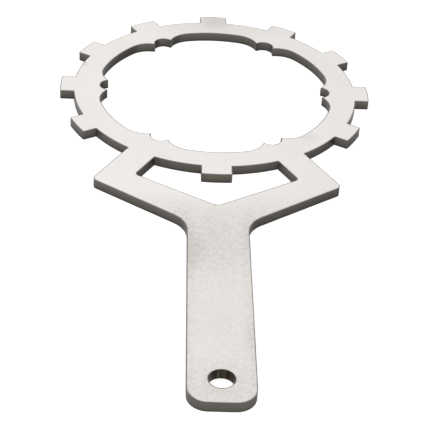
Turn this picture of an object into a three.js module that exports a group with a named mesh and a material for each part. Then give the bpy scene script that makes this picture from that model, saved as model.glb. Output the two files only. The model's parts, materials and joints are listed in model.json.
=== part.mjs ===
// Clutch installation tool: a one-piece hand tool cut from flat stainless plate.
// A ring carries driving tabs outside and notched lugs inside, a forked yoke grows out of two tab
// positions, and the yoke runs into a straight handle with a hanging hole.
// Millimetres, +Z up. The plate lies flat on Z = 0 with the handle towards -Y, and the origin is at
// the middle of the overall length. The outlines below are drawn about the ring's centre.

import * as THREE from "three";

// Driving dimensions: the plate
const PLATE_THICKNESS = 4.5;
const EDGE_BREAK = 0.1; // deburred edge along every outline, on both faces

// Driving dimensions: the ring
const BORE_DIAMETER = 110;
const RING_WALL = 11.15; // from the bore to the foot of the tabs
const TAB_HEIGHT = 6.3;
const TAB_WIDTH = 13.4;
const TAB_POSITIONS = 12; // equal pitch; the two beside the lowest tab carry the yoke instead
const TAB_TIP_RADIUS = 0.45;
const TAB_FOOT_RADIUS = 0.3; // inside corners where tabs and yoke arms leave the ring

// Driving dimensions: the lugs inside the ring
const LUG_COUNT = 6;
const LUG_HEIGHT = 4.5; // from the bore in to the two points of a lug
const LUG_FLANK_RADIUS = 11.6; // hollow flank that runs out of the bore up to each point
const NOTCH_WIDTH = 8.9; // between the two points
const NOTCH_DEPTH = 3.55;

// Driving dimensions: the yoke
const ARM_WIDTH = 13.65;
const ARM_REACH = 28.65; // along the arm's outer edge, from the ring's foot circle to the shoulder
const YOKE_WIDTH = 12.95; // from the shoulder back to the window, along the arm
const YOKE_OUTER_SLOPE = 34.8; // degrees below level, towards the handle
const YOKE_INNER_SLOPE = 31.3;
const SHOULDER_RADIUS = 2.5;
const WINDOW_CORNER_RADIUS = 1.8;
const WINDOW_APEX_RADIUS = 3.3;

// Driving dimensions: the handle
const HANDLE_WIDTH = 25.4;
const HANDLE_LENGTH = 107.5; // from where its sides would meet the yoke's outer edges
const HANDLE_FILLET_RADIUS = 12.6;
const HANDLE_END_RADIUS = 7.8;
const HANGING_HOLE_DIAMETER = 9.8;
const HANGING_HOLE_TO_END = 12.4;

// How far a facet may stand off the true arc
const CHORD_ERROR = 0.02;

// Sizes that follow from the driving dimensions
const boreRadius = BORE_DIAMETER / 2;
const footRadius = boreRadius + RING_WALL;
const tipRadius = footRadius + TAB_HEIGHT;
const tabPitch = (2 * Math.PI) / TAB_POSITIONS;
const lugPitch = (2 * Math.PI) / LUG_COUNT;
const handleDirection = -Math.PI / 2;
const rightArm = handleDirection + tabPitch;
const leftArm = handleDirection - tabPitch;

const point = (x, y) => new THREE.Vector2(x, y);
const polar = (radius, angle) => point(radius * Math.cos(angle), radius * Math.sin(angle));
const mirrored = (p) => point(-p.x, p.y);
const turned = (points, angle) => points.map((p) => p.clone().rotateAround(point(0, 0), angle));

// Points along an arc, both ends included, in steps that keep to the chord error.
function arc(centre, radius, from, to) {
  const step = 2 * Math.acos(Math.max(0, 1 - CHORD_ERROR / radius));
  const steps = Math.max(2, Math.ceil(Math.abs(to - from) / step));
  return new THREE.ArcCurve(centre.x, centre.y, radius, from, to, to < from).getPoints(steps);
}

// A stretch of a circle about the ring's centre, without its two ends, which its neighbours bring.
const ringArc = (radius, from, to) => arc(point(0, 0), radius, from, to).slice(1, -1);

// The corner between two straight edges, rounded.
function roundedCorner(before, corner, after, radius) {
  const back = before.clone().sub(corner).normalize();
  const on = after.clone().sub(corner).normalize();
  const halfAngle = Math.acos(THREE.MathUtils.clamp(back.dot(on), -1, 1)) / 2;
  const inwards = back.clone().add(on).normalize();
  const centre = corner.clone().addScaledVector(inwards, radius / Math.sin(halfAngle));
  const start = corner.clone().addScaledVector(back, radius / Math.tan(halfAngle)).sub(centre);
  const end = corner.clone().addScaledVector(on, radius / Math.tan(halfAngle)).sub(centre);
  const sweep = Math.atan2(start.cross(end), start.dot(end));
  return arc(centre, radius, start.angle(), start.angle() + sweep);
}

// Where the line through p along u meets the line through q along v.
function meeting(p, u, q, v) {
  const along = q.clone().sub(p).cross(v) / u.cross(v);
  return p.clone().addScaledVector(u, along);
}

// The foot of a tab or arm on the ring, drawn with its axis along +X: side is -1 for its clockwise
// edge and 1 for the other. turnOff is the angle from the axis at which the rounding leaves the ring.
function foot(halfWidth, side) {
  const offset = halfWidth + TAB_FOOT_RADIUS;
  const reach = footRadius + TAB_FOOT_RADIUS;
  const turnOff = Math.asin(offset / reach);
  const centre = polar(reach, side * turnOff);
  const onRing = side * (turnOff - Math.PI);
  const onEdge = (-side * Math.PI) / 2;
  const points = side < 0
    ? arc(centre, TAB_FOOT_RADIUS, onRing, onEdge)
    : arc(centre, TAB_FOOT_RADIUS, onEdge, onRing);
  return { points, turnOff };
}

// A driving tab with its axis along +X, counter-clockwise from foot to foot.
function tab() {
  const half = TAB_WIDTH / 2;
  const turnOff = Math.asin((half - TAB_TIP_RADIUS) / (tipRadius - TAB_TIP_RADIUS));
  const corner = (side) => polar(tipRadius - TAB_TIP_RADIUS, side * turnOff);
  return [
    ...foot(half, -1).points,
    ...arc(corner(-1), TAB_TIP_RADIUS, -Math.PI / 2, -turnOff),
    ...ringArc(tipRadius, -turnOff, turnOff),
    ...arc(corner(1), TAB_TIP_RADIUS, turnOff, Math.PI / 2),
    ...foot(half, 1).points,
  ];
}

const tabFootAngle = foot(TAB_WIDTH / 2, 1).turnOff;
const armFootAngle = foot(ARM_WIDTH / 2, 1).turnOff;

// A point on an edge of the right arm, so far out along the arm's axis: side 1 is its outer edge.
const onRightArm = (along, side) => polar(along, rightArm)
  .add(polar((side * ARM_WIDTH) / 2, rightArm + Math.PI / 2));

// The yoke's corners on the right-hand side; the left-hand side mirrors them.
const shoulder = onRightArm(footRadius + ARM_REACH, 1);
const windowCorner = onRightArm(footRadius + ARM_REACH - YOKE_WIDTH, -1);
const outerSlope = polar(1, Math.PI + THREE.MathUtils.degToRad(YOKE_OUTER_SLOPE));
const innerSlope = polar(1, Math.PI + THREE.MathUtils.degToRad(YOKE_INNER_SLOPE));
const down = point(0, -1);
const neck = meeting(shoulder, outerSlope, point(HANDLE_WIDTH / 2, 0), down);
const apex = meeting(windowCorner, innerSlope, point(0, 0), down);
const handleEnd = point(HANDLE_WIDTH / 2, neck.y - HANDLE_LENGTH);
const hangingHole = point(0, handleEnd.y + HANGING_HOLE_TO_END);

// Tabs from one angle to another, both included, joined by the foot circle up to the given ends.
function tabRun(firstTab, lastTab, startAngle, endAngle) {
  const points = [];
  let from = startAngle;
  const count = Math.round((lastTab - firstTab) / tabPitch);
  for (let i = 0; i <= count; i++) {
    const angle = firstTab + i * tabPitch;
    points.push(...ringArc(footRadius, from, angle - tabFootAngle), ...turned(tab(), angle));
    from = angle + tabFootAngle;
  }
  points.push(...ringArc(footRadius, from, endAngle));
  return points;
}

// The outside of the whole plate, counter-clockwise from the right arm's foot.
function outsideOutline() {
  const lastArm = leftArm + 2 * Math.PI;
  return [
    ...turned(foot(ARM_WIDTH / 2, 1).points, rightArm),
    ...tabRun(rightArm + tabPitch, lastArm - tabPitch, rightArm + armFootAngle, lastArm - armFootAngle),
    ...turned(foot(ARM_WIDTH / 2, -1).points, leftArm),
    ...roundedCorner(polar(footRadius, leftArm - armFootAngle), mirrored(shoulder), mirrored(neck),
      SHOULDER_RADIUS),
    ...roundedCorner(mirrored(shoulder), mirrored(neck), mirrored(handleEnd), HANDLE_FILLET_RADIUS),
    ...roundedCorner(mirrored(neck), mirrored(handleEnd), handleEnd, HANDLE_END_RADIUS),
    ...roundedCorner(mirrored(handleEnd), handleEnd, neck, HANDLE_END_RADIUS),
    ...roundedCorner(handleEnd, neck, shoulder, HANDLE_FILLET_RADIUS),
    ...roundedCorner(neck, shoulder, onRightArm(footRadius, 1), SHOULDER_RADIUS),
  ];
}

// The window between ring and yoke, with the lowest tab standing into it.
function windowOutline() {
  const rightFoot = onRightArm(footRadius, -1);
  return [
    ...turned(foot(ARM_WIDTH / 2, 1).points, leftArm),
    ...tabRun(handleDirection, handleDirection, leftArm + armFootAngle, rightArm - armFootAngle),
    ...turned(foot(ARM_WIDTH / 2, -1).points, rightArm),
    ...roundedCorner(rightFoot, windowCorner, apex, WINDOW_CORNER_RADIUS),
    ...roundedCorner(windowCorner, apex, mirrored(windowCorner), WINDOW_APEX_RADIUS),
    ...roundedCorner(apex, mirrored(windowCorner), mirrored(rightFoot), WINDOW_CORNER_RADIUS),
  ];
}

// One lug with its axis along +X, and the angle from that axis at which its flanks leave the bore.
function lug() {
  const half = NOTCH_WIDTH / 2;
  const tip = point(Math.sqrt((boreRadius - LUG_HEIGHT) ** 2 - half ** 2), half);

  // The flank touches the bore from inside and ends at the lug's point.
  const flankReach = boreRadius - LUG_FLANK_RADIUS;
  const cosine = (flankReach ** 2 + tip.lengthSq() - LUG_FLANK_RADIUS ** 2) / (2 * flankReach * tip.length());
  const turnOff = tip.angle() + Math.acos(cosine);
  const flankCentre = polar(flankReach, turnOff);
  const tipDirection = Math.atan2(tip.y - flankCentre.y, tip.x - flankCentre.x);
  const flank = arc(flankCentre, LUG_FLANK_RADIUS, tipDirection, turnOff);

  // The notch is an arc over the chord between the points.
  const notchRadius = (half ** 2 + NOTCH_DEPTH ** 2) / (2 * NOTCH_DEPTH);
  const notchCentre = point(tip.x + NOTCH_DEPTH - notchRadius, 0);
  const halfSweep = Math.atan2(half, tip.x - notchCentre.x);
  const notch = arc(notchCentre, notchRadius, -halfSweep, halfSweep).slice(1, -1);

  const otherFlank = flank.map((p) => point(p.x, -p.y)).reverse();
  return { points: [...otherFlank, ...notch, ...flank], turnOff };
}

// The bore with its lugs, counter-clockwise.
function boreOutline() {
  const { points: lugPoints, turnOff } = lug();
  const points = [];
  for (let i = 0; i < LUG_COUNT; i++) {
    const angle = i * lugPitch;
    points.push(...turned(lugPoints, angle));
    points.push(...ringArc(boreRadius, angle + turnOff, angle + lugPitch - turnOff));
  }
  return points;
}

// A full circle, without the repeat of its first point.
const circleOutline = (centre, radius) => arc(centre, radius, 0, 2 * Math.PI).slice(0, -1);

// The plate: one profile with three cut-outs, extruded with a small chamfer along every edge.
function plateGeometry() {
  const profile = new THREE.Shape(outsideOutline());
  profile.holes.push(
    new THREE.Path(boreOutline()),
    new THREE.Path(windowOutline()),
    new THREE.Path(circleOutline(hangingHole, HANGING_HOLE_DIAMETER / 2)),
  );
  return new THREE.ExtrudeGeometry(profile, {
    depth: PLATE_THICKNESS - 2 * EDGE_BREAK,
    bevelEnabled: true,
    bevelSegments: 1,
    bevelSize: EDGE_BREAK,
    bevelThickness: EDGE_BREAK,
    bevelOffset: -EDGE_BREAK,
  });
}

const satinStainless = new THREE.MeshStandardMaterial({
  name: "satin_stainless",
  color: new THREE.Color().setRGB(0.78, 0.77, 0.75, THREE.SRGBColorSpace),
  roughness: 0.42,
  metalness: 1,
});

const toolPlate = new THREE.Mesh(plateGeometry(), satinStainless);
toolPlate.name = "tool_plate";
toolPlate.position.set(0, -(tipRadius + handleEnd.y) / 2, EDGE_BREAK);

const clutchTool = new THREE.Group();
clutchTool.name = "clutch_installation_tool";
clutchTool.add(toolPlate);

export default clutchTool;
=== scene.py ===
"""Dresses the clutch installation tool: satin stainless with darker profile-cut walls, on a pale stage."""

import json
import math
from typing import NamedTuple

import bpy
from bpy.props import FloatProperty, FloatVectorProperty, PointerProperty
from mathutils import Matrix, Vector


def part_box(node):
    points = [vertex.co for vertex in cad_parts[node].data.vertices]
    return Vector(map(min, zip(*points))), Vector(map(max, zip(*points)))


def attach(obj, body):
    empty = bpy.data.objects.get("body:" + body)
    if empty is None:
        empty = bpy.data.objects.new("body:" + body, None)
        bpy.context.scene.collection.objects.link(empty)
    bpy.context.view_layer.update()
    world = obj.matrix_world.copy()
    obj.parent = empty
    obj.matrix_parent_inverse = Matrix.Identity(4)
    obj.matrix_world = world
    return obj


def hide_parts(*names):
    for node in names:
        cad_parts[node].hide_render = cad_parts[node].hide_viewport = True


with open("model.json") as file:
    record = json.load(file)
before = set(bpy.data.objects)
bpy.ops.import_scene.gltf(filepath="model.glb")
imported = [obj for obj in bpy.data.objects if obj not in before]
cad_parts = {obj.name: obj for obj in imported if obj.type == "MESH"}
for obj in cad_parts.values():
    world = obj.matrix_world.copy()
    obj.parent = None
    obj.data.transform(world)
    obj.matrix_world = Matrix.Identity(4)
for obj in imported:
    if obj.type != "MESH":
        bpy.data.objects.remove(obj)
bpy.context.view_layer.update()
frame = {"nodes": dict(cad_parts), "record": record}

bl_info = {
    "name": "Clutch Installation Tool",
    "version": (1, 0, 0),
    "blender": (4, 5, 0),
    "location": "3D View > Sidebar > Clutch Tool",
    "description": "Finishes the flat clutch installation tool and sets up its studio stage",
    "category": "Object",
}

# What the frame says about the plate, in metres
PLATE_LOW, PLATE_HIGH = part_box("tool_plate")
TAB_CIRCLE_RADIUS = PLATE_HIGH.x
RING_CENTRE = Vector((0.0, PLATE_HIGH.y - TAB_CIRCLE_RADIUS, PLATE_HIGH.z))

# The face attribute that marks the rims
RIM = "rim"


def opening_centre(name):
    """The middle of one of the record's stated openings."""
    for opening in frame["record"]["physics"]["openings"]:
        if opening["name"] == name:
            low, high = opening["box_m"]
            return (Vector(low) + Vector(high)) / 2
    raise KeyError(name)


HOLE = opening_centre("hanging_hole")
HANDLE_END_Y = PLATE_LOW.y
FAR_Y = PLATE_HIGH.y
LOW_TAB_Y = RING_CENTRE.y - TAB_CIRCLE_RADIUS


class Spot(NamedTuple):
    """A place on the plate with a tone of its own, in metres and radians."""

    x: float
    y: float
    half_width: float
    half_length: float
    weight: float = 1.0
    turn: float = 0.0


# Marks on the faces: those of handling are blotchy, and those of finishing are even.
HANDLING_MARKS = {
    "grip": Spot(-0.004, HANDLE_END_Y + 0.0934, 0.024, 0.038, 0.34),
    "left side of the grip": Spot(-0.0135, HANDLE_END_Y + 0.0874, 0.010, 0.024, 0.52),
    "thumb": Spot(0.0125, HANDLE_END_Y + 0.0974, 0.007, 0.020, 0.22),
    "rubbed right edge": Spot(0.0125, HANDLE_END_Y + 0.0354, 0.006, 0.016, 0.25),
    "round the hole": Spot(HOLE.x, HOLE.y, 0.014, 0.017, 0.22),
    "by the right near lug": Spot(0.041, RING_CENTRE.y - 0.040, 0.010, 0.007, 0.28, math.radians(-35)),
}
FINISHING_MARKS = {
    "far tab": Spot(0.001, FAR_Y - 0.002, 0.013, 0.015, 0.45),
    "far arc of the ring": Spot(0.0, FAR_Y - 0.010, 0.055, 0.016, 0.26),
}
SCUFF = Spot(-0.0624, RING_CENTRE.y + 0.0193, 0.0024, 0.0036, 0.9)

# Where wear starts and where it is full, down the handle and out from its middle line, and where the painted
# shade on the right-hand side starts and is full, from left to right
HANDLE_FADE = (HANDLE_END_Y + 0.1314, HANDLE_END_Y + 0.1074)
HANDLE_END_FADE = (HANDLE_END_Y + 0.0234, HANDLE_END_Y + 0.0009)
HANDLE_EDGE_FADE = (0.008, 0.013)
RIGHT_SHADE_FADE = (-0.055, 0.060)

# Places on the walls
LOW_TAB_TINT = Spot(0.0, LOW_TAB_Y, 0.0095, 0.004)
HOLE_SCORCH = Spot(HOLE.x, HOLE.y, 0.0085, 0.0085)
HOLE_SOOT = Spot(HOLE.x - 0.0014, HOLE.y + 0.0047, 0.0022, 0.0022)
# Painted highlight: a light streak in the hanging hole.
HOLE_GLINT = Spot(HOLE.x - 0.0011, HOLE.y + 0.0047, 0.0007, 0.0020)
RUBBED_END = Spot(-0.003, HANDLE_END_Y, 0.022, 0.010)

# Sizes of the features in the finishes, in metres: one length, or one for each axis
CLOUD_SIZE = 0.030
MOTTLE_SIZE = (0.0013, 0.0019, 0.002)
GRAIN_SIZE = 0.0011
ROLLING_SIZE = (0.0006, 0.022, 0.002)
HAIRLINE_SIZE = (0.00022, 0.016, 0.01)
HAIRLINE_TURN = math.radians(62)
STREAK_SIZE = (0.00035, 0.00035, 0.006)
DRAG_SIZE = (0.0011, 0.0011, 0.003)
PATCH_SIZE = 0.011
HOLE_STREAK_SIZE = (0.0016, 0.0016, 0.02)
FLOOR_DUST_SIZE = 0.05

# How the CAD plate's triangles become one skin with rims
MERGE_DISTANCE = 1e-6
FLAT_ANGLE = math.radians(0.3)
SMOOTH_ANGLE = math.radians(35)
BROAD_FACE_SLOPE = 0.99
HOLE_RIM_REACH = 0.008

# The stage, in metres, and the camera's sensor, in millimetres
FLOOR_RADIUS = 30.0
FLOOR_DUST_COLOUR = (0.8, 0.8, 0.8)
KEY_PLACE = (-0.9, 0.5, 1.3)
KEY_SIZE = 1.5
FILL_PLACE = (0.7, -1.1, 0.8)
FILL_SIZE = 0.8
CLIP_START = 0.01
SENSOR_WIDTH = 36.0


def colour_property(name, description, default):
    """A colour that a user may change, in linear light."""
    return FloatVectorProperty(
        name=name, description=description, default=default, subtype="COLOR", size=3, min=0.0, max=1.0)


def length_property(name, description, default):
    """A length that a user may change."""
    return FloatProperty(name=name, description=description, default=default, unit="LENGTH", precision=5)


def angle_property(name, description, degrees):
    """An angle that a user may change."""
    return FloatProperty(name=name, description=description, default=math.radians(degrees), subtype="ANGLE")


class PlateSettings(bpy.types.PropertyGroup):
    """Sizes and colours of the plate's finish."""

    rim_width: length_property("Rim width", "Darker line along the edges of the faces, up to 0.3 mm", 0.0003)
    pale_steel: colour_property("Pale steel", "The clean satin faces", (0.921, 0.886, 0.861))
    # The dull colour also paints the shade on the right-hand side of the faces.
    dull_and_shaded_steel: colour_property(
        "Dull steel", "Smudged and handled places on the faces", (0.636, 0.606, 0.581))
    # The rim colour is painted shade along the edges of the faces, not a heated line.
    rim_shade: colour_property("Rim steel", "The heated line along the cut edges", (0.030, 0.029, 0.028))
    cut_steel: colour_property("Cut steel", "The profile-cut walls", (0.110, 0.100, 0.091))
    cut_shadow: colour_property("Cut steel, foot", "The lower part of the cut walls", (0.057, 0.052, 0.046))
    # This colour is partly deburred steel and partly a painted highlight along the rounded upper edges of
    # the walls.
    edge_steel_and_highlight: colour_property("Edge steel", "The deburred upper edges", (0.30, 0.283, 0.262))
    # This colour is painted shade: walls are darkened by which way they face, most on the right, for the
    # light from the left.
    side_shade_colour: colour_property("Oxide", "The dark film on the walls at the plate's sides", (0.010, 0.009, 0.008))
    bare_wall: colour_property("Bare wall", "The rubbed wall at the handle's end", (0.101, 0.091, 0.081))
    heat_tint: colour_property("Heat tint", "Straw tint left by the cutting beam", (0.125, 0.112, 0.078))
    # This colour also paints a contact shadow as a dark line along the foot of the walls.
    scorch_and_foot_shadow: colour_property("Scorched steel", "The wall of the hanging hole", (0.014, 0.009, 0.005))
    rust_brown: colour_property(
        "Brown streaks", "Lighter streaks down the hanging hole", (0.056, 0.040, 0.026))


class StageSettings(bpy.types.PropertyGroup):
    """Camera, light and floor."""

    azimuth: angle_property(
        "Azimuth", "Camera direction about the vertical, zero in front of the handle", -2.724)
    elevation: angle_property("Elevation", "Camera height above the horizon", 35.411)
    roll: angle_property("Roll", "Camera turn about its own axis", 3.481)
    distance: length_property("Distance", "From the camera's plane to the ring's centre", 0.65837)
    aside: length_property("Aside", "Camera to the right of the ring's centre, in its own plane", 0.00367)
    below: length_property("Below", "Camera below the ring's centre, in its own plane", 0.05943)
    focal_length: FloatProperty(
        name="Focal length", description="Lens, in millimetres on a 36 mm sensor", default=117.07)
    floor_colour: colour_property("Floor", "The pale floor", (0.86, 0.86, 0.86))
    floor_glow: FloatProperty(
        name="Floor glow", description="Lifts the floor to white where the camera or the metal sees it",
        default=0.72)
    room_light: FloatProperty(
        name="Room light", description="Strength of the even light all round", default=0.62)
    key_power: FloatProperty(
        name="Key light", description="Power of the large soft light", default=5.0, unit="POWER")
    fill_power: FloatProperty(
        name="Fill light", description="Power of the low soft light", default=2.0, unit="POWER")


class Value:
    """A shader socket that takes part in Python arithmetic: each operator adds one Math node."""

    def __init__(self, recipe, socket):
        self.recipe = recipe
        self.socket = socket

    def math(self, operation, *values):
        """The result of one Math node on these values."""
        return self.recipe.add("ShaderNodeMath", {"operation": operation}, dict(enumerate(values)))

    def __add__(self, other):
        return self.math("ADD", self, other)

    __radd__ = __add__

    def __sub__(self, other):
        return self.math("SUBTRACT", self, other)

    def __rsub__(self, other):
        return self.math("SUBTRACT", other, self)

    def __mul__(self, other):
        return self.math("MULTIPLY", self, other)

    __rmul__ = __mul__

    def __truediv__(self, other):
        return self.math("DIVIDE", self, other)

    def step(self, low, high):
        """0 below low, 1 above high and a smooth rise between; low may be the larger."""
        return self.recipe.add(
            "ShaderNodeMapRange", {"interpolation_type": "SMOOTHSTEP"},
            {"Value": self, "From Min": low, "From Max": high})


class Recipe:
    """A node material, or the world, built up by adding nodes."""

    def __init__(self, tree):
        self.tree = tree
        self.tree.nodes.clear()

    def add(self, kind, settings=None, inputs=None, output=0):
        """Adds a node, sets it up, fills or links its sockets and returns one of its outputs."""
        node = self.tree.nodes.new(kind)
        for name, value in (settings or {}).items():
            setattr(node, name, value)
        for key, value in (inputs or {}).items():
            socket = self.find(node.inputs, key)
            if isinstance(value, Value):
                self.tree.links.new(value.socket, socket)
            elif socket.type == "RGBA":
                socket.default_value = (*value, 1.0)
            else:
                socket.default_value = value
        return Value(self, self.find(node.outputs, output)) if node.outputs else None

    @staticmethod
    def find(sockets, key):
        """A socket by its number, or by its name among those in use."""
        if isinstance(key, int):
            return sockets[key]
        return next(s for s in sockets if s.name == key and s.enabled)

    def place(self):
        """The object's own coordinates, in metres."""
        return self.add("ShaderNodeTexCoord", output="Object")

    def along(self, axis, vector=None):
        """One of the three parts of a vector, by default of the object's own coordinates."""
        return self.add("ShaderNodeSeparateXYZ", None, {"Vector": vector or self.place()}, output=axis)

    def mapped(self, vector, scale, turn, move=(0.0, 0.0, 0.0)):
        """Coordinates moved, turned about Z and stretched, so that one unit is one feature."""
        return self.add("ShaderNodeMapping", {"vector_type": "TEXTURE"}, {
            "Vector": vector, "Location": move, "Rotation": (0.0, 0.0, turn), "Scale": scale})

    def noise(self, size, detail, turn=0.0, roughness=0.5):
        """Noise with features of a given size in metres: one length, or one for each axis."""
        scale = size if isinstance(size, tuple) else (size, size, size)
        return self.add("ShaderNodeTexNoise", {"noise_dimensions": "3D"}, {
            "Vector": self.mapped(self.place(), scale, turn), "Scale": 1.0, "Detail": detail,
            "Roughness": roughness})

    def spot(self, spot):
        """1 at the middle of a spot and 0 from its ellipse outwards."""
        scale = (spot.half_width, spot.half_length, 1.0)
        near = self.mapped(self.place(), scale, spot.turn, (spot.x, spot.y, 0.0))
        flat = self.add("ShaderNodeVectorMath", {"operation": "MULTIPLY"}, {0: near, 1: (1.0, 1.0, 0.0)})
        away = self.add("ShaderNodeVectorMath", {"operation": "LENGTH"}, {0: flat}, output="Value")
        return away.step(1.0, 0.0)

    def weighted(self, *spots):
        """Several spots together, each by its weight."""
        return sum(spot.weight * self.spot(spot) for spot in spots)

    def mix(self, factor, first, second):
        """A colour between two."""
        return self.add("ShaderNodeMix", {"data_type": "RGBA"}, {"Factor": factor, "A": first, "B": second},
                        output="Result")

    def bump(self, height, strength, depth):
        """A normal for small relief."""
        return self.add("ShaderNodeBump", None, {"Height": height, "Strength": strength, "Distance": depth})

    def surface(self, shader):
        """Links the finished shader to the material's output."""
        self.add("ShaderNodeOutputMaterial", None, {"Surface": shader})


def new_recipe(name):
    """A new material and the recipe that fills it."""
    material = bpy.data.materials.new(name)
    material.use_nodes = True
    return material, Recipe(material.node_tree)


def satin_face(settings):
    """The plate's broad faces: tumbled satin stainless with cloudy, lightly handled places."""
    material, recipe = new_recipe("satin_face")
    cloud = recipe.noise(CLOUD_SIZE, detail=3.0)
    mottle = recipe.noise(MOTTLE_SIZE, detail=4.0, roughness=0.66)
    grain = recipe.noise(GRAIN_SIZE, detail=3.0).step(0.28, 0.72)
    rolling = recipe.noise(ROLLING_SIZE, detail=2.0)
    hairline = recipe.noise(HAIRLINE_SIZE, detail=1.0, turn=HAIRLINE_TURN).step(0.68, 0.78)
    rim = recipe.add("ShaderNodeAttribute", {"attribute_name": RIM}, output="Fac")

    # Handling has dulled the handle, its edges and its end. The right-hand side is darkened as painted
    # shade, for the light from the left.
    across = recipe.along("X")
    handle = recipe.along("Y").step(*HANDLE_FADE)
    end = recipe.along("Y").step(*HANDLE_END_FADE)
    speckle = mottle.step(0.35, 0.65)
    handle_edge = handle * across.math("ABSOLUTE", across).step(*HANDLE_EDGE_FADE) * (0.5 + speckle)
    wear_and_side_shade = 0.14 * across.step(*RIGHT_SHADE_FADE) + handle * (0.19 + 0.11 * speckle)
    wear_and_side_shade = wear_and_side_shade + 0.16 * handle_edge + 0.18 * end * (0.75 + 0.5 * speckle)

    blotch = 0.45 + 0.75 * mottle.step(0.25, 0.75)
    marks = blotch * recipe.weighted(*HANDLING_MARKS.values()) + recipe.weighted(*FINISHING_MARKS.values())
    marks = marks + grain * recipe.weighted(SCUFF)

    # Up to a tone of this strength, the steel is as pale as it gets.
    palest = 0.24
    texture = 0.26 * cloud + 0.18 * mottle + 0.13 * grain + 0.08 * rolling + 0.10 * hairline
    colour = recipe.mix(wear_and_side_shade + marks + texture - palest, settings.pale_steel, settings.dull_and_shaded_steel)
    relief = 0.3 * grain + 0.35 * rolling - 0.4 * hairline
    shader = recipe.add("ShaderNodeBsdfPrincipled", None, {
        # Painted shade: a dark line along the rims of the faces, strongest on edges that face the far side.
        "Base Color": recipe.mix(rim * (0.7 + 0.6 * mottle), colour, settings.rim_shade),
        "Metallic": 1.0,
        "Specular Tint": (0.72, 0.71, 0.70),
        "Roughness": 0.34 + 0.10 * mottle + 0.05 * grain - 0.05 * hairline,
        "Normal": recipe.bump(relief, strength=0.25, depth=0.00004),
    })
    recipe.surface(shader)
    return material


def hole_wall(recipe, settings):
    """The colour of the scorched hanging hole: brown streaks, a sooty place and one light streak, which is a
    painted highlight.
    """
    streak = recipe.noise(HOLE_STREAK_SIZE, detail=1.0).step(0.36, 0.60)
    brown = streak * (1.0 - recipe.spot(HOLE_SOOT))
    colour = recipe.mix(brown, settings.scorch_and_foot_shadow, settings.rust_brown)
    # Painted highlight: the light streak.
    return recipe.mix(0.8 * recipe.spot(HOLE_GLINT), colour, settings.cut_steel)


def cut_wall(settings):
    """The profile-cut walls and their deburred edges, which carry a painted highlight: dull, streaked
    downwards and darker at the foot.
    """
    material, recipe = new_recipe("cut_wall")
    level = recipe.along("Z") / PLATE_HIGH.z
    streak = recipe.noise(STREAK_SIZE, detail=2.0)
    drag = recipe.noise(DRAG_SIZE, detail=3.0)
    patch = recipe.noise(PATCH_SIZE, detail=2.0).step(0.55, 0.75)

    # The walls get darker downwards, and those at the sides, most of all at the right, are darkened by which
    # way they face: painted shade for the light from the left.
    foot = level.step(0.95, 0.0) * (0.55 + 0.6 * drag)
    colour = recipe.mix(foot, settings.cut_steel, settings.cut_shadow)
    facing = recipe.along("X", recipe.add("ShaderNodeNewGeometry", output="Normal"))
    side_shade = 0.72 * facing.step(0.32, 0.88) + 0.20 * facing.step(-0.55, -0.95)
    colour = recipe.mix(side_shade, colour, settings.side_shade_colour)

    # Single places: a straw tint, mostly on the lowest tab, the scorched hole and the handle's rubbed end.
    tint = recipe.spot(LOW_TAB_TINT) + 0.4 * patch
    colour = recipe.mix(0.6 * tint * level.step(0.0, 0.6), colour, settings.heat_tint)
    scorched = recipe.spot(HOLE_SCORCH).step(0.0, 0.12)
    colour = recipe.mix(scorched, colour, hole_wall(recipe, settings))
    rubbed = recipe.spot(RUBBED_END).step(0.0, 0.5)
    colour = recipe.mix(0.7 * rubbed, colour, settings.bare_wall)

    # The upper edge is light, partly deburred steel and partly a painted highlight, and a dark line of
    # painted shadow runs along the foot.
    edge = level.step(0.92, 0.995) * (1.0 - 0.6 * scorched) * (1.0 - 0.8 * rubbed)
    colour = recipe.mix(edge * (0.5 + 0.5 * drag), colour, settings.edge_steel_and_highlight)
    # Painted shadow: the dark line along the foot of the walls, where they meet the floor.
    colour = recipe.mix(0.75 * level.step(0.20, 0.04), colour, settings.scorch_and_foot_shadow)
    shader = recipe.add("ShaderNodeBsdfPrincipled", None, {
        "Base Color": colour,
        "Metallic": 0.85,
        "Roughness": 0.42 + 0.16 * streak,
        "Normal": recipe.bump(0.7 * streak + 0.5 * drag, strength=0.5, depth=0.00008),
    })
    recipe.surface(shader)
    return material


def select_only(piece):
    """Makes one object the whole selection."""
    bpy.ops.object.select_all(action="DESELECT")
    piece.select_set(True)
    bpy.context.view_layer.objects.active = piece


def mark_rim(mesh):
    """Marks the strips round the selected faces for a painted dark line of shade: strongest on edges that
    face the far side.
    """
    inside = {corner for face in mesh.polygons if face.select for corner in face.vertices}
    rim = mesh.attributes.new(RIM, "FLOAT", "FACE")
    for face, mark in zip(mesh.polygons, rim.data):
        outer = [mesh.vertices[corner].co.xy for corner in face.vertices if corner not in inside]
        inner = [mesh.vertices[corner].co.xy for corner in face.vertices if corner in inside]
        if face.select or not outer or not inner:
            continue
        out = sum(outer, Vector((0.0, 0.0))) / len(outer) - sum(inner, Vector((0.0, 0.0))) / len(inner)
        away = out.normalized().y
        mark.value = 0.7 + 0.3 * away
        if (face.center.xy - HOLE.xy).length < HOLE_RIM_REACH:
            mark.value *= 0.7 + 0.3 * away


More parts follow.
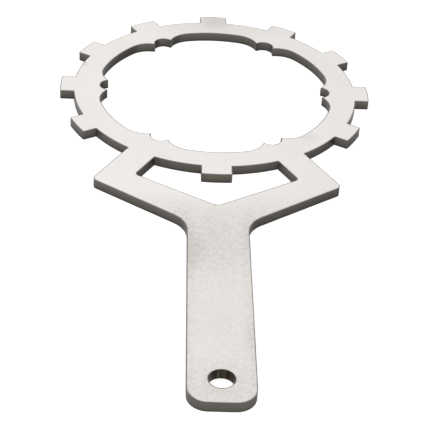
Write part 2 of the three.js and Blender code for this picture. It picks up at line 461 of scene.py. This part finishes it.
class CLUTCHTOOL_OT_plate(bpy.types.Operator):
    """Make the finished plate from the CAD plate: merged, with a rim along its edges and two finishes"""

    bl_idname = "clutch_tool.plate"
    bl_label = "Make Plate"

    def execute(self, context):
        settings = context.scene.clutch_tool_plate
        plate = bpy.data.objects.new("satin_plate", frame["nodes"]["tool_plate"].data.copy())
        context.collection.objects.link(plate)
        select_only(plate)

        # The copied triangles become one closed skin with flat faces in one piece.
        bpy.ops.object.mode_set(mode="EDIT")
        bpy.ops.mesh.select_mode(type="FACE")
        bpy.ops.mesh.select_all(action="SELECT")
        bpy.ops.mesh.remove_doubles(threshold=MERGE_DISTANCE)
        bpy.ops.mesh.customdata_custom_splitnormals_clear()
        bpy.ops.mesh.dissolve_limited(angle_limit=FLAT_ANGLE)
        bpy.ops.mesh.select_all(action="DESELECT")
        bpy.ops.object.mode_set(mode="OBJECT")

        # The broad faces are inset, which leaves a narrow rim along every edge.
        plate.data.materials.clear()
        plate.data.materials.append(satin_face(settings))
        plate.data.materials.append(cut_wall(settings))
        for face in plate.data.polygons:
            broad = abs(face.normal.z) > BROAD_FACE_SLOPE
            face.material_index = 0 if broad else 1
            face.select = broad
        bpy.ops.object.mode_set(mode="EDIT")
        bpy.ops.mesh.inset(thickness=settings.rim_width, depth=0.0, use_even_offset=True)
        bpy.ops.object.mode_set(mode="OBJECT")
        mark_rim(plate.data)
        bpy.ops.object.shade_smooth_by_angle(angle=SMOOTH_ANGLE)

        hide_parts("tool_plate")
        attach(plate, "root")
        return {"FINISHED"}


def seen_by_camera_or_metal(recipe):
    """1 for rays from the camera, glossy metal or glass, and 0 for the light that falls on things."""
    seen = None
    for name in ("Is Camera Ray", "Is Glossy Ray", "Is Transmission Ray"):
        ray = recipe.add("ShaderNodeLightPath", output=name)
        seen = ray if seen is None else seen + ray
    return seen.math("MINIMUM", seen, 1.0)


def pale_floor(settings):
    """A white studio floor that keeps the soft shadow under the plate."""
    material, recipe = new_recipe("pale_floor")
    dust = recipe.noise(FLOOR_DUST_SIZE, detail=3.0)
    matt = recipe.add("ShaderNodeBsdfDiffuse", None, {
        "Color": recipe.mix(0.1 * dust, settings.floor_colour, FLOOR_DUST_COLOUR)})
    glow = recipe.add("ShaderNodeEmission", None, {
        "Strength": settings.floor_glow * seen_by_camera_or_metal(recipe)})
    recipe.surface(recipe.add("ShaderNodeAddShader", None, {0: matt, 1: glow}))
    return material


def soft_light(name, place, aim, size, power):
    """A large square light that faces a point. The metal doesn't mirror it, so that no view burns out."""
    bpy.ops.object.select_all(action="DESELECT")
    bpy.ops.object.light_add(type="AREA", location=place)
    light = bpy.context.object
    light.name = name
    light.data.shape = "SQUARE"
    light.data.size = size
    light.data.energy = power
    light.visible_glossy = False
    light.rotation_euler = (Vector(aim) - Vector(place)).to_track_quat("-Z", "Y").to_euler()


class CLUTCHTOOL_OT_stage(bpy.types.Operator):
    """Set up the pale floor, the soft lights and the camera"""

    bl_idname = "clutch_tool.stage"
    bl_label = "Set Up Stage"

    def execute(self, context):
        settings = context.scene.clutch_tool_stage
        bpy.ops.object.select_all(action="DESELECT")
        bpy.ops.mesh.primitive_circle_add(vertices=96, radius=FLOOR_RADIUS, fill_type="NGON")
        floor = context.object
        floor.name = "floor"
        floor.data.materials.append(pale_floor(settings))

        world = bpy.data.worlds.new("studio")
        world.use_nodes = True
        context.scene.world = world
        recipe = Recipe(world.node_tree)
        seen = seen_by_camera_or_metal(recipe)
        strength = settings.room_light + (1.0 - settings.room_light) * seen
        even = recipe.add("ShaderNodeBackground", None, {"Color": (1.0, 1.0, 1.0), "Strength": strength})
        recipe.add("ShaderNodeOutputWorld", None, {"Surface": even})

        soft_light("key_light", KEY_PLACE, RING_CENTRE, KEY_SIZE, settings.key_power)
        soft_light("fill_light", FILL_PLACE, (0, 0, 0), FILL_SIZE, settings.fill_power)
        self.camera(context, settings)
        context.scene.view_settings.view_transform = "Standard"
        return {"FINISHED"}

    @staticmethod
    def camera(context, settings):
        """Places the camera by its direction, its turn and its offset from the ring's centre."""
        back = Vector((
            math.sin(settings.azimuth) * math.cos(settings.elevation),
            -math.cos(settings.azimuth) * math.cos(settings.elevation),
            math.sin(settings.elevation)))
        right = Vector((math.cos(settings.azimuth), math.sin(settings.azimuth), 0.0))
        up = back.cross(right)
        place = RING_CENTRE + settings.aside * right - settings.below * up + settings.distance * back
        turned_right = math.cos(settings.roll) * right + math.sin(settings.roll) * up
        turned_up = math.cos(settings.roll) * up - math.sin(settings.roll) * right
        axes = Matrix((turned_right, turned_up, back)).transposed()
        bpy.ops.object.camera_add(location=place, rotation=axes.to_euler())
        camera = context.object
        camera.name = "camera"
        camera.data.sensor_width = SENSOR_WIDTH
        camera.data.lens = settings.focal_length
        camera.data.clip_start = CLIP_START
        context.scene.camera = camera


class CLUTCHTOOL_PT_panel(bpy.types.Panel):
    """Lists the steps and what can be changed"""

    bl_idname = "CLUTCHTOOL_PT_panel"
    bl_label = "Clutch Installation Tool"
    bl_space_type = "VIEW_3D"
    bl_region_type = "UI"
    bl_category = "Clutch Tool"

    def draw(self, context):
        for settings, operator in (
            (context.scene.clutch_tool_plate, CLUTCHTOOL_OT_plate),
            (context.scene.clutch_tool_stage, CLUTCHTOOL_OT_stage),
        ):
            column = self.layout.column()
            for name in settings.bl_rna.properties.keys():
                if name not in ("rna_type", "name"):
                    column.prop(settings, name)
            column.operator(operator.bl_idname)


CLASSES = (PlateSettings, StageSettings, CLUTCHTOOL_OT_plate, CLUTCHTOOL_OT_stage, CLUTCHTOOL_PT_panel)


def register():
    for cls in CLASSES:
        bpy.utils.register_class(cls)
    bpy.types.Scene.clutch_tool_plate = PointerProperty(type=PlateSettings)
    bpy.types.Scene.clutch_tool_stage = PointerProperty(type=StageSettings)


def unregister():
    del bpy.types.Scene.clutch_tool_stage
    del bpy.types.Scene.clutch_tool_plate
    for cls in reversed(CLASSES):
        bpy.utils.unregister_class(cls)


def main():
    register()
    bpy.ops.clutch_tool.plate()
    bpy.ops.clutch_tool.stage()


if __name__ == "__main__":
    main()
